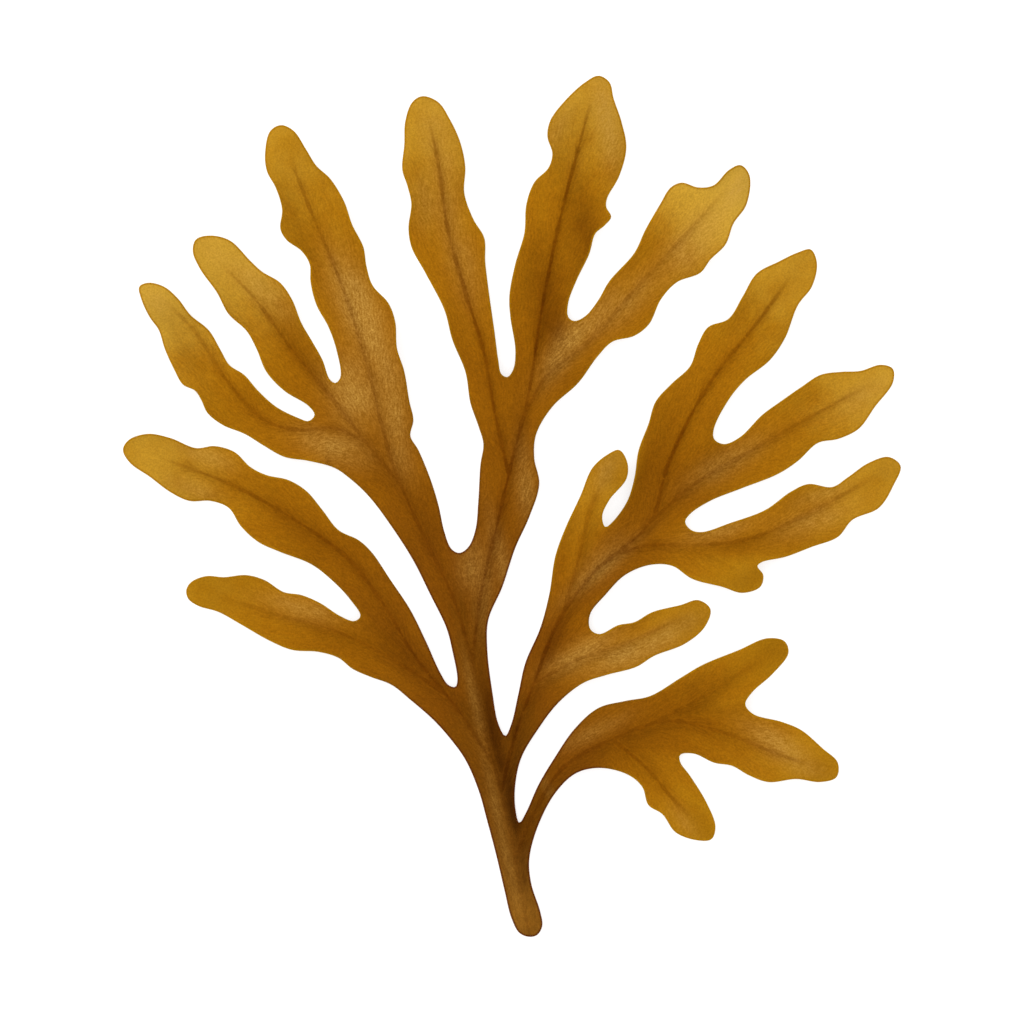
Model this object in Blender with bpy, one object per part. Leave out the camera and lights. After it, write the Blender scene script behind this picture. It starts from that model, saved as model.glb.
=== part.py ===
"""Forked, ribbed seaweed frond of the sargassum and wrack family, lying flat, its cut foot towards -Y.

The frond is one thallus: a rounded stipe that forks again and again into strap-shaped blades with wavy
margins, each with a raised midrib down its middle. It is a single closed solid. Its plan is one smooth
margin line, and its two faces are raised from that plan by formulas, so both are split into the same
triangles. The frame is in metres with +Z up, and the origin is under the middle of the frond's box.
"""

import bpy
import numpy as np
from mathutils.geometry import delaunay_2d_cdt

# Driving dimensions, in metres
FROND_LENGTH = 0.215  # from the cut foot to the highest tip
LAMINA_THICKNESS = 0.0011  # the blade between its midrib and its margin
MARGIN_THICKNESS = 0.0007  # the blade's wall at its very edge
MARGIN_BEVEL = 0.0026  # width over which a blade thins towards its margin
RIB_HEIGHT = (0.0030, 0.0007)  # how far the midrib stands above the lamina, at the foot and at a tip
RIB_HALF_WIDTH = (0.0026, 0.0010)  # its half width there
RIB_FADE = 0.022  # the midrib sinks into the lamina over this last stretch before a tip
RIB_CLEARANCE = 0.8  # it dies out towards a margin that is nearer than this many of its half widths
FLAT_REACH = 0.170  # from the foot to where the stipe has wholly become flat blades

# How the frond lies: its underside rises from the surface in these measures, in metres
CUP = 0.0010  # the margins lie this much higher than the rib
RIPPLE = 0.0017  # the margins of a blade swing up and down by this much
RIPPLE_LENGTH = 0.031  # from one crest of a rippled margin to the next
RIPPLE_START = 0.0425  # the ripple grows from this distance from the foot
RIPPLE_FULL = 0.1275  # and is whole from here on
RIPPLE_TURN = 1.9  # radians by which each rib's ripple is ahead of that of the rib before
LIFT_SHARE = 0.4  # part of the ripple that lifts both margins of a blade together
LIFT_PACE = 0.7  # crests of that part for each crest of the other
CONTACT_BLEND = 0.0004  # it leaves the surface smoothly, over this height below and above it
BLEND_WIDTH = 0.0022  # how far the shapes of two ribs run into each other at a fork

# Mesh, in metres
MARGIN_STEP = 0.0027  # between two points of the margin
RIB_STEP = 0.0030  # between two points of a midrib, and of the feet of its two slopes
RIB_FOOT = 0.0017  # from the midrib to the feet of its slopes
FIELD_STEP = 0.0042  # between two points of the lamina
CURVE_STEP = 0.0005  # between two points of a curve while it is being worked out
INNER_ROW = 0.0014  # from the margin to the row of points just inside it
MARGIN_CLEAR = 0.0012  # no other point is nearer to the margin than this
CLOSEST = 0.0013  # no two points on the ribs and rows are closer than this
FIELD_CLEAR = 0.0026  # a point of the lamina is at least this far from every other
MERGED = 1e-7  # points closer than this count as one
TINY = 1e-9  # keeps a division from being by nothing

# The plan is drawn on a sheet, x to the right and y down, on which the frond is SHEET_LENGTH steps long.
# The built frond is then moved by a hair, so that the origin is exactly under the middle of its box.
SHEET_LENGTH = 860
SHEET_CENTRE = (512, 507)
STEP = FROND_LENGTH / SHEET_LENGTH

# Each midrib: the rib that it leaves, the points that it runs through from there to its tip, and the
# height of the frond's underside along it in millimetres, at even steps. Below 0 it is pressed flat.
RIBS = {
    "stipe": (
        None,
        [(529, 934), (522, 900), (512, 842), (499, 784), (482, 722), (472, 662)],
        (0.5, -0.9, -0.9, -0.4, -0.6),
    ),
    "left_blade": (
        "stipe",
        [
            (494, 766), (458, 710), (416, 658), (383, 604), (347, 558), (296, 521), (238, 488),
            (172, 462), (146, 453),
        ],
        (-0.6, 0.6, 1.4, -0.9, 2.0, 0.6, 4.4),
    ),
    "low_left_blade": (
        "left_blade",
        [(444, 693), (398, 663), (338, 632), (268, 612), (206, 592)],
        (0.5, -0.8, 2.2, 1.2, 3.8),
    ),
    "upper_left_blade": (
        "stipe",
        [
            (472, 662), (454, 600), (428, 546), (396, 474), (382, 428), (369, 374), (343, 290),
            (310, 210), (283, 140),
        ],
        (-0.6, 0.6, -0.9, 1.4, 3.2, 0.4, 2.2, 6.2),
    ),
    "upper_left_middle_blade": (
        "upper_left_blade",
        [(400, 484), (370, 448), (336, 404), (292, 350), (252, 296), (210, 254)],
        (0.4, 1.0, -0.6, 2.6, 5.0),
    ),
    "upper_left_outer_blade": (
        "upper_left_middle_blade",
        [(366, 442), (332, 428), (298, 430), (264, 420), (226, 380), (193, 330), (155, 293)],
        (0.8, 1.9, 0.2, 2.6, -0.3, 4.0),
    ),
    "crown_blade": (
        "stipe",
        [
            (472, 662), (480, 596), (496, 528), (511, 464), (528, 396), (541, 312), (560, 218),
            (582, 134), (594, 88),
        ],
        (-0.6, 0.5, -0.8, 0.4, -0.7, 1.8, 0.6, 7.0),
    ),
    "crown_left_blade": (
        "crown_blade",
        [(508, 474), (494, 410), (483, 350), (465, 292), (448, 232), (438, 164), (426, 108)],
        (0.2, -0.6, 2.0, -0.9, 2.8, 5.4),
    ),
    "upper_right_blade": (
        "crown_blade",
        [(520, 424), (545, 378), (590, 340), (634, 290), (684, 236), (738, 176)],
        (0.0, 2.6, 1.0, -0.9, 2.4, 6.4),
    ),
    "right_blade": (
        "stipe",
        [
            (501, 792), (515, 734), (535, 680), (557, 624), (592, 574), (650, 522), (668, 464),
            (705, 390), (762, 316), (796, 268),
        ],
        (-0.6, 0.4, -0.8, 1.0, -0.9, 2.4, 0.6, 5.6),
    ),
    "right_middle_blade": (
        "right_blade",
        [(646, 526), (694, 484), (752, 450), (812, 416), (882, 378)],
        (0.0, 1.7, -0.9, 2.0, 5.2),
    ),
    "right_lower_blade": (
        "right_blade",
        [(612, 556), (644, 546), (700, 545), (752, 538), (818, 508), (886, 470)],
        (0.4, -0.9, 1.6, 0.4, 4.4),
    ),
    "right_spur": ("right_lower_blade", [(684, 545), (716, 560), (750, 577)], (0.0, 1.0, 2.0)),
    "inner_blade": ("right_blade", [(563, 612), (578, 560), (592, 504), (614, 463)], (0.3, 1.6, 4.8)),
    "right_low_blade": (
        "right_blade",
        [(533, 684), (576, 660), (630, 641), (698, 610)],
        (0.0, 2.6, 1.2, 4.6),
    ),
    "low_right_blade": (
        "stipe",
        [(514, 862), (533, 814), (563, 767), (612, 739), (668, 721), (724, 733), (780, 755), (824, 769)],
        (-0.5, 1.2, 2.4, 0.2, -1.0, 1.4, 3.8),
    ),
    "low_right_upper_blade": ("low_right_blade", [(640, 729), (700, 698), (772, 651)], (0.2, 1.8, 4.4)),
    "low_right_spur": (
        "low_right_blade",
        [(612, 739), (644, 766), (672, 798), (703, 831)],
        (0.6, 1.5, 3.4),
    ),
}

# The margin, walked once round the frond from the foot, up its left side and down its right side
MARGIN = {
    "stipe, left side": [
        (529, 937), (519, 933), (511, 918), (504, 890), (496, 856), (487, 822), (478, 790), (465, 760),
        (450, 739),
    ],
    "low left blade": [
        (433, 720), (410, 700), (391, 685), (370, 677), (352, 669), (338, 658), (318, 652), (292, 650),
        (270, 641), (240, 624), (218, 612), (198, 606), (188, 599), (186, 590), (191, 582), (206, 576),
        (224, 577), (246, 575), (264, 580), (283, 592), (301, 595), (320, 603), (340, 616), (354, 621),
        (360, 616),
    ],
    "left blade": [
        (350, 600), (332, 581), (310, 564), (280, 552), (258, 542), (240, 526), (228, 508), (210, 501),
        (189, 501), (170, 492), (150, 477), (130, 463), (123, 450), (129, 440), (148, 434), (170, 438),
        (195, 448), (214, 446), (234, 452), (250, 467), (266, 475), (288, 480), (306, 491), (322, 510),
        (338, 530), (358, 540), (371, 552), (390, 580), (410, 610), (425, 640), (440, 673), (448, 685),
        (455, 687), (457, 680),
    ],
    "upper left outer blade": [
        (452, 651), (446, 628), (430, 595), (412, 559), (390, 525), (368, 496), (350, 479), (334, 468),
        (308, 461), (284, 457), (262, 445), (244, 434), (222, 425), (207, 413), (201, 400), (195, 391),
        (183, 385), (174, 370), (164, 349), (158, 330), (149, 317), (141, 299), (139, 287), (148, 283),
        (164, 287), (178, 299), (190, 315), (208, 330), (220, 350), (229, 365), (244, 375), (258, 391),
        (276, 407), (298, 418), (308, 421), (314, 415),
    ],
    "upper left middle blade": [
        (308, 406), (284, 391), (266, 372), (256, 349), (246, 331), (228, 314), (217, 293), (200, 269),
        (193, 252), (196, 240), (210, 236), (230, 241), (250, 261), (262, 272), (280, 283), (292, 300),
        (301, 323), (312, 342), (322, 360), (329, 379), (335, 383), (340, 377),
    ],
    "upper left blade": [
        (336, 350), (328, 327), (316, 305), (310, 282), (309, 264), (301, 251), (286, 240), (280, 229),
        (282, 210), (276, 189), (267, 172), (265, 154), (270, 132), (281, 126), (294, 132), (306, 150),
        (316, 166), (330, 179), (344, 202), (352, 225), (363, 247), (366, 266), (372, 285), (388, 303),
        (395, 322), (397, 349), (404, 371), (409, 401), (413, 420), (410, 436), (418, 450), (430, 479),
        (438, 505), (444, 532), (451, 549), (459, 553), (468, 547), (475, 530),
    ],
    "crown left blade": [
        (478, 500), (480, 465), (483, 444), (478, 426), (470, 403), (465, 372), (452, 340), (444, 310),
        (425, 273), (411, 247), (408, 228), (411, 204), (407, 186), (402, 170), (404, 145), (405, 122),
        (412, 103), (422, 97), (438, 103), (450, 121), (460, 143), (465, 167), (464, 193), (473, 219),
        (484, 238), (485, 262), (489, 295), (494, 330), (498, 360), (501, 374), (507, 377), (513, 369),
        (515, 350),
    ],
    "crown blade": [
        (510, 317), (509, 296), (515, 264), (524, 233), (526, 204), (534, 182), (548, 168), (552, 154),
        (547, 137), (550, 121), (566, 100), (585, 83), (598, 77), (609, 84), (613, 100), (621, 123),
        (626, 148), (619, 176), (607, 198), (606, 207), (611, 217), (604, 226), (595, 234), (589, 254),
        (576, 281), (568, 303), (568, 317), (574, 321), (585, 316), (598, 300),
    ],
    "upper right blade": [
        (609, 281), (634, 253), (645, 230), (660, 204), (670, 188), (681, 183), (698, 188), (713, 186),
        (728, 171), (740, 166), (749, 176), (746, 205), (733, 224), (725, 245), (710, 260), (700, 273),
        (677, 282), (661, 299), (649, 324), (634, 336), (612, 342), (597, 357), (578, 383), (552, 407),
        (536, 434), (534, 458), (539, 484), (529, 517), (515, 548), (502, 587), (488, 620), (487, 650),
        (492, 692), (498, 724), (505, 736), (511, 724),
    ],
    "inner blade": [
        (518, 694), (525, 663), (540, 628), (549, 594), (555, 556), (565, 528), (580, 496), (592, 468),
        (608, 454), (619, 450), (627, 463), (626, 479), (609, 500), (602, 516), (605, 527), (613, 521),
    ],
    "right blade": [
        (627, 501), (634, 478), (638, 451), (648, 424), (655, 402), (671, 384), (690, 366), (698, 344),
        (708, 327), (728, 319), (742, 297), (756, 274), (778, 262), (797, 253), (810, 250), (816, 264),
        (811, 287), (797, 306), (785, 338), (770, 360), (745, 380), (729, 399), (714, 428), (714, 439),
        (724, 444),
    ],
    "right middle blade": [
        (740, 437), (762, 415), (781, 401), (801, 387), (820, 375), (840, 372), (860, 371), (880, 365),
        (892, 369), (892, 383), (874, 407), (858, 429), (838, 439), (818, 443), (798, 461), (778, 474),
        (740, 489), (710, 501), (690, 514), (685, 522), (691, 530), (702, 532),
    ],
    "right lower blade and its spur": [
        (730, 523), (765, 510), (790, 492), (808, 484), (832, 487), (848, 477), (868, 463), (888, 457),
        (900, 466), (893, 485), (878, 508), (852, 520), (838, 537), (812, 547), (785, 557), (762, 562),
        (757, 566), (763, 575), (760, 587), (742, 593), (722, 587), (692, 579), (672, 566), (650, 565),
        (625, 575), (605, 595), (590, 614), (590, 629), (599, 634),
    ],
    "right low blade": [
        (618, 625), (634, 622), (652, 612), (680, 605), (698, 600), (710, 609), (704, 627), (684, 644),
        (654, 656), (636, 667), (606, 675), (583, 683), (558, 703), (538, 729), (521, 758), (515, 785),
        (515, 808), (519, 823),
    ],
    "low right upper blade": [
        (526, 812), (538, 785), (554, 758), (574, 729), (598, 708), (625, 701), (650, 696), (680, 678),
        (702, 665), (738, 650), (766, 638), (784, 641), (788, 653), (772, 674), (752, 692), (745, 704),
        (753, 714),
    ],
    "low right blade": [
        (782, 722), (801, 730), (822, 748), (837, 762), (836, 777), (820, 782), (796, 779), (768, 782),
        (748, 775), (732, 766), (714, 763), (694, 754), (680, 755), (680, 762),
    ],
    "low right spur": [
        (690, 776), (706, 802), (715, 826), (711, 839), (696, 840), (675, 832), (662, 814), (648, 805),
        (642, 787), (628, 775), (600, 768), (576, 773), (555, 793), (537, 828),
    ],
    "stipe, right side": [(529, 860), (531, 884), (540, 912), (542, 926), (537, 935)],
}

FROND_COLOUR = (0.42, 0.20, 0.03, 1.0)
FROND_ROUGHNESS = 0.45


def clear_scene():
    for thing in list(bpy.data.objects):
        bpy.data.objects.remove(thing)


def on_plan(sheet_points):
    """Points of the drawing sheet as places in metres."""
    return (np.array(sheet_points, float) - SHEET_CENTRE) * (STEP, -STEP)


def smooth_curve(points, step, closed=False):
    """Even steps along the centripetal Catmull-Rom curve through the points."""
    if closed:
        p = np.vstack([points[-1:], points, points[:2]])
    else:
        p = np.vstack([2 * points[:1] - points[1:2], points, 2 * points[-1:] - points[-2:-1]])
    knots = np.concatenate([[0], np.cumsum(np.sqrt(np.linalg.norm(np.diff(p, axis=0), axis=1)))])
    pieces = []
    for i in range(1, len(p) - 2):
        t0, t1, t2, t3 = knots[i - 1 : i + 3]
        cuts = max(3, int(np.linalg.norm(p[i + 1] - p[i]) / CURVE_STEP))
        t = np.linspace(t1, t2, cuts, endpoint=False)[:, None]
        a = p[i - 1] + (p[i] - p[i - 1]) * (t - t0) / (t1 - t0)
        b = p[i] + (p[i + 1] - p[i]) * (t - t1) / (t2 - t1)
        c = p[i + 1] + (p[i + 2] - p[i + 1]) * (t - t2) / (t3 - t2)
        d = a + (b - a) * (t - t0) / (t2 - t0)
        e = b + (c - b) * (t - t1) / (t3 - t1)
        pieces.append(d + (e - d) * (t - t1) / (t2 - t1))
    fine = np.vstack(pieces + [p[-2:-1]])
    along = np.concatenate([[0], np.cumsum(np.linalg.norm(np.diff(fine, axis=0), axis=1))])
    even = np.linspace(0, along[-1], max(2, round(along[-1] / step)) + 1)
    if closed:
        even = even[:-1]
    return np.column_stack([np.interp(even, along, fine[:, k]) for k in (0, 1)])


def nearest(path, points):
    """For each point: its distance from the path, how far along the path, and the side, 1 for left."""
    start, run = path[:-1], np.diff(path, axis=0)
    length = np.linalg.norm(run, axis=1)
    before = np.concatenate([[0], np.cumsum(length)[:-1]])
    offset = points[:, None] - start
    share = np.clip((offset * run).sum(2) / length**2, 0, 1)
    away = offset - share[..., None] * run
    distance = np.linalg.norm(away, axis=2)
    best = distance.argmin(axis=1)
    rows = np.arange(len(points))
    gap = distance[rows, best]
    unit = run[best] / length[best, None]
    side = (unit[:, 0] * away[rows, best, 1] - unit[:, 1] * away[rows, best, 0]) / np.maximum(gap, TINY)
    return gap, before[best] + share[rows, best] * length[best], side


def smooth_step(value, low, high):
    t = np.clip((value - low) / (high - low), 0, 1)
    return t * t * (3 - 2 * t)


def height_profile(values, share):
    """Height of the underside in metres at a share of a rib's length, smooth through its even steps."""
    heights = np.array(values) / 1000
    place = np.clip(share, 0, 1) * (len(heights) - 1)
    low = np.clip(place.astype(int), 0, len(heights) - 2)
    t = place - low
    before, here = heights[np.maximum(low - 1, 0)], heights[low]
    there, after = heights[low + 1], heights[np.minimum(low + 2, len(heights) - 1)]
    bend = 2 * before - 5 * here + 4 * there - after
    turn = 3 * (here - there) + after - before
    return here + 0.5 * t * (there - before + t * (bend + t * turn))


def rib_paths():
    """Each rib's smooth path in metres, and how far its start is from the foot, along the ribs."""
    paths, starts = {}, {}
    for name, (parent, points, _) in RIBS.items():
        paths[name] = smooth_curve(on_plan(points), CURVE_STEP)
        starts[name] = 0.0
        if parent:
            starts[name] = starts[parent] + nearest(paths[parent], paths[name][:1])[1][0]
    return paths, starts


def faces_at(points, outline, paths, starts):
    """The heights of the frond's underside and of its upper face at points of the plan."""
    closed_outline = np.vstack([outline, outline[:1]])
    from_margin = nearest(closed_outline, points)[0]
    found = {name: nearest(path, points) for name, path in paths.items()}
    from_rib = np.min([distance for distance, _, _ in found.values()], axis=0)
    across = from_rib / (from_rib + from_margin + TINY)
    standing = np.zeros(len(points))
    total = np.zeros(len(points))
    lie = np.zeros(len(points))
    from_foot = np.zeros(len(points))
    for turn, (name, (distance, place, side)) in enumerate(found.items()):
        weight = np.exp(-(distance - from_rib) / BLEND_WIDTH)
        length = np.linalg.norm(np.diff(paths[name], axis=0), axis=1).sum()
        reach = starts[name] + place
        swing = 2 * np.pi * reach / RIPPLE_LENGTH + RIPPLE_TURN * turn
        waves = side * np.sin(swing) + LIFT_SHARE * np.cos(LIFT_PACE * swing)
        ripple = RIPPLE * smooth_step(reach, RIPPLE_START, RIPPLE_FULL) * across**2 * waves
        lie += weight * (height_profile(RIBS[name][2], place / length) + ripple)
        from_foot += weight * reach
        standing += weight * smooth_step(length - place, 0, RIB_FADE)
        total += weight
    lie = lie / total + CUP * across**2
    flatness = smooth_step(from_foot / total, 0, FLAT_REACH)
    pressed = np.clip(lie + CONTACT_BLEND, 0, 2 * CONTACT_BLEND) ** 2 / (4 * CONTACT_BLEND)
    under = np.where(lie > CONTACT_BLEND, lie, pressed)
    half_width = RIB_HALF_WIDTH[0] + (RIB_HALF_WIDTH[1] - RIB_HALF_WIDTH[0]) * flatness
    rise = RIB_HEIGHT[0] + (RIB_HEIGHT[1] - RIB_HEIGHT[0]) * flatness
    rise *= np.where(flatness > 0, standing / total, 1)
    thinning = LAMINA_THICKNESS - MARGIN_THICKNESS
    body = MARGIN_THICKNESS + thinning * smooth_step(from_margin, 0, MARGIN_BEVEL)
    bell = np.exp(-((from_rib / half_width) ** 2))
    rib = rise * bell * smooth_step(from_margin, 0, RIB_CLEARANCE * half_width)
    return under, under + body + rib


def plan_points(outline, paths):
    """Points of the plan: the margin, a row just inside it, the ribs, their feet and the lamina."""
    closed_outline = np.vstack([outline, outline[:1]])
    tangent = np.roll(outline, -1, axis=0) - np.roll(outline, 1, axis=0)
    tangent /= np.linalg.norm(tangent, axis=1)[:, None]
    inward = np.column_stack([tangent[:, 1], -tangent[:, 0]])
    rows = [outline + INNER_ROW * inward]
    stride = round(RIB_STEP / CURVE_STEP)
    for path in paths.values():
        run = np.gradient(path, axis=0)
        leftward = np.column_stack([-run[:, 1], run[:, 0]]) / np.linalg.norm(run, axis=1)[:, None]
        rows += [(path + offset * leftward)[::stride] for offset in (0, RIB_FOOT, -RIB_FOOT)]
    low, high = outline.min(0), outline.max(0)
    xs = np.arange(low[0], high[0], FIELD_STEP)
    ys = np.arange(low[1], high[1], FIELD_STEP * 0.75**0.5)
    grid = [(x + (FIELD_STEP / 2 if row % 2 else 0), y) for row, y in enumerate(ys) for x in xs]
    rows.append(np.array(grid))
    taken = outline
    for gap, row in zip([CLOSEST] * (len(rows) - 1) + [FIELD_CLEAR], rows):
        row = row[inside(outline, row)]
        row = row[nearest(closed_outline, row)[0] > MARGIN_CLEAR]
        for point in row:
            if np.hypot(*(taken - point).T).min() > gap:
                taken = np.vstack([taken, point])
    return taken


def inside(outline, points):
    """Whether each point lies within the outline, by counting the edges to its right."""
    ends = np.roll(outline, -1, axis=0)
    x, y = points[:, :1], points[:, 1:]
    crosses = (outline[:, 1] > y) != (ends[:, 1] > y)
    rise = np.where(ends[:, 1] == outline[:, 1], 1, ends[:, 1] - outline[:, 1])
    where = outline[:, 0] + (y - outline[:, 1]) * (ends[:, 0] - outline[:, 0]) / rise
    return (crosses & (x < where)).sum(1) % 2 == 1


def build_thallus():
    margin = [point for stretch in MARGIN.values() for point in stretch]
    outline = smooth_curve(on_plan(margin), MARGIN_STEP, closed=True)
    paths, starts = rib_paths()
    points = plan_points(outline, paths)
    loop = [(i, (i + 1) % len(outline)) for i in range(len(outline))]
    plan, _, triangles, *_ = delaunay_2d_cdt([tuple(p) for p in points], loop, [], 1, MERGED)
    plan = np.array([tuple(p) for p in plan])
    under, upper = faces_at(plan, outline, paths, starts)
    count = len(plan)
    plan -= (outline.min(0) + outline.max(0)) / 2
    vertices = np.vstack([np.column_stack([plan, upper]), np.column_stack([plan, under])])
    faces = [tuple(t) for t in triangles]
    faces += [tuple(count + i for i in reversed(t)) for t in triangles]
    faces += [(a, b, count + b, count + a) for a, b in loop]
    mesh = bpy.data.meshes.new("thallus")
    mesh.from_pydata([tuple(v) for v in vertices], [], faces)
    mesh.shade_smooth()
    thallus = bpy.data.objects.new("thallus", mesh)
    bpy.context.scene.collection.objects.link(thallus)
    return thallus


def frond_material():
    material = bpy.data.materials.new("wet frond")
    material.use_nodes = True
    shader = material.node_tree.nodes["Principled BSDF"]
    shader.inputs["Base Color"].default_value = FROND_COLOUR
    shader.inputs["Roughness"].default_value = FROND_ROUGHNESS
    shader.inputs["Metallic"].default_value = 0.0
    return material


clear_scene()
build_thallus().data.materials.append(frond_material())
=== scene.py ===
# A forked, ribbed seaweed frond laid flat on a white table and seen from straight above.
# It is one piece, the thallus: a thin wavy sheet with raised midribs, made as heights over its plan.

import math

import bpy
import numpy as np
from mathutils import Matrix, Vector
from mathutils.geometry import delaunay_2d_cdt


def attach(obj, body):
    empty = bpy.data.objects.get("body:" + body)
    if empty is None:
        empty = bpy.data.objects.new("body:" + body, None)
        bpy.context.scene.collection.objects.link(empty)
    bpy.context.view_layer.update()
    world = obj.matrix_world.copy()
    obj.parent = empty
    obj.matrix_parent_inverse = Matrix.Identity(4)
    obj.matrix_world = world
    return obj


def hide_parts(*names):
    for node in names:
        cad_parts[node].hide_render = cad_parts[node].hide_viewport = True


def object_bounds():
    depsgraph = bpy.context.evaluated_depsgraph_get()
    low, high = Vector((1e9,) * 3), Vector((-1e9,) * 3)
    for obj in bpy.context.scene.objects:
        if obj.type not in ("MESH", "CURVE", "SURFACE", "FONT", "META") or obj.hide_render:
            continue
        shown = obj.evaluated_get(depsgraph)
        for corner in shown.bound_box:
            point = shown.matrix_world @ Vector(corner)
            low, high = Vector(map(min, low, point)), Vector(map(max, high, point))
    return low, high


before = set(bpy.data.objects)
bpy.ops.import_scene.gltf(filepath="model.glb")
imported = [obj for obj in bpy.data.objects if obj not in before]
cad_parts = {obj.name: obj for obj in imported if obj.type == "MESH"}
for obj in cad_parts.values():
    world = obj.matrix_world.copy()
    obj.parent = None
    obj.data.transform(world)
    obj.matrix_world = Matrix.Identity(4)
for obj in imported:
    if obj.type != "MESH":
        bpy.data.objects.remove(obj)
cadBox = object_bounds()
print("frame loaded:", [round(1000 * (high - low), 1) for low, high in zip(*cadBox)], "mm")

# The plan is drawn on a sheet, x to the right and y down, and fitted to the frame's own box in metres
sheetLength = 860  # steps of the sheet from the foot to the highest tip
sheetCentre = (512, 507)
sheetStep = (cadBox[1].y - cadBox[0].y) / sheetLength

# Each midrib: the rib it leaves, its places on the sheet, the height in mm of the underside along it
# (below 0 it is pressed flat), how golden its tip is, partly its own tone and partly painted glow of
# light through the thin tissue, and how dark its vein is
ribs = {
    "stipe": (
        None,
        [(529, 934), (522, 900), (512, 842), (499, 784), (482, 722), (472, 662)],
        (0.5, -0.9, -0.9, -0.4, -0.6),
        0.0,
        0.25,
    ),
    "leftBlade": (
        "stipe",
        [
            (494, 766), (458, 710), (416, 658), (383, 604), (347, 558), (296, 521), (238, 488),
            (172, 462), (146, 453),
        ],
        (-0.6, 0.6, 1.4, -0.9, 2.0, 0.6, 4.4),
        0.5,
        0.6,
    ),
    "lowLeftBlade": (
        "leftBlade",
        [(444, 693), (398, 663), (338, 632), (268, 612), (206, 592)],
        (0.5, -0.8, 2.2, 1.2, 3.8),
        0.2,
        0.4,
    ),
    "upperLeftBlade": (
        "stipe",
        [
            (472, 662), (454, 600), (428, 546), (396, 474), (382, 428), (369, 374), (343, 290),
            (310, 210), (283, 140),
        ],
        (-0.6, 0.6, -0.9, 1.4, 3.2, 0.4, 2.2, 6.2),
        0.4,
        0.5,
    ),
    "upperLeftMiddleBlade": (
        "upperLeftBlade",
        [(400, 484), (370, 448), (336, 404), (292, 350), (252, 296), (210, 254)],
        (0.4, 1.0, -0.6, 2.6, 5.0),
        0.7,
        0.5,
    ),
    "upperLeftOuterBlade": (
        "upperLeftMiddleBlade",
        [(366, 442), (332, 428), (298, 430), (264, 420), (226, 380), (193, 330), (155, 293)],
        (0.8, 1.9, 0.2, 2.6, -0.3, 4.0),
        0.8,
        0.55,
    ),
    "crownBlade": (
        "stipe",
        [
            (472, 662), (480, 596), (496, 528), (511, 464), (528, 396), (541, 312), (560, 218),
            (582, 134), (594, 88),
        ],
        (-0.6, 0.5, -0.8, 0.4, -0.7, 1.8, 0.6, 7.0),
        0.5,
        0.9,
    ),
    "crownLeftBlade": (
        "crownBlade",
        [(508, 474), (494, 410), (483, 350), (465, 292), (448, 232), (438, 164), (426, 108)],
        (0.2, -0.6, 2.0, -0.9, 2.8, 5.4),
        0.5,
        0.8,
    ),
    "upperRightBlade": (
        "crownBlade",
        [(520, 424), (545, 378), (590, 340), (634, 290), (684, 236), (738, 176)],
        (0.0, 2.6, 1.0, -0.9, 2.4, 6.4),
        1.0,
        0.35,
    ),
    "rightBlade": (
        "stipe",
        [
            (501, 792), (515, 734), (535, 680), (557, 624), (592, 574), (650, 522), (668, 464),
            (705, 390), (762, 316), (796, 268),
        ],
        (-0.6, 0.4, -0.8, 1.0, -0.9, 2.4, 0.6, 5.6),
        0.45,
        0.85,
    ),
    "rightMiddleBlade": (
        "rightBlade",
        [(646, 526), (694, 484), (752, 450), (812, 416), (882, 378)],
        (0.0, 1.7, -0.9, 2.0, 5.2),
        0.55,
        0.5,
    ),
    "rightLowerBlade": (
        "rightBlade",
        [(612, 556), (644, 546), (700, 545), (752, 538), (818, 508), (886, 470)],
        (0.4, -0.9, 1.6, 0.4, 4.4),
        0.4,
        0.5,
    ),
    "rightSpur": (
        "rightLowerBlade",
        [(684, 545), (716, 560), (750, 577)],
        (0.0, 1.0, 2.0),
        0.15,
        0.2,
    ),
    "innerBlade": (
        "rightBlade",
        [(563, 612), (578, 560), (592, 504), (614, 463)],
        (0.3, 1.6, 4.8),
        0.25,
        0.4,
    ),
    "rightLowBlade": (
        "rightBlade",
        [(533, 684), (576, 660), (630, 641), (698, 610)],
        (0.0, 2.6, 1.2, 4.6),
        0.2,
        0.4,
    ),
    "lowRightBlade": (
        "stipe",
        [
            (514, 862), (533, 814), (563, 767), (612, 739), (668, 721), (724, 733), (780, 755),
            (824, 769),
        ],
        (-0.5, 1.2, 2.4, 0.2, -1.0, 1.4, 3.8),
        0.15,
        0.55,
    ),
    "lowRightUpperBlade": (
        "lowRightBlade",
        [(640, 729), (700, 698), (772, 651)],
        (0.2, 1.8, 4.4),
        0.05,
        0.3,
    ),
    "lowRightSpur": (
        "lowRightBlade",
        [(612, 739), (644, 766), (672, 798), (703, 831)],
        (0.6, 1.5, 3.4),
        0.1,
        0.55,
    ),
}

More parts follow.
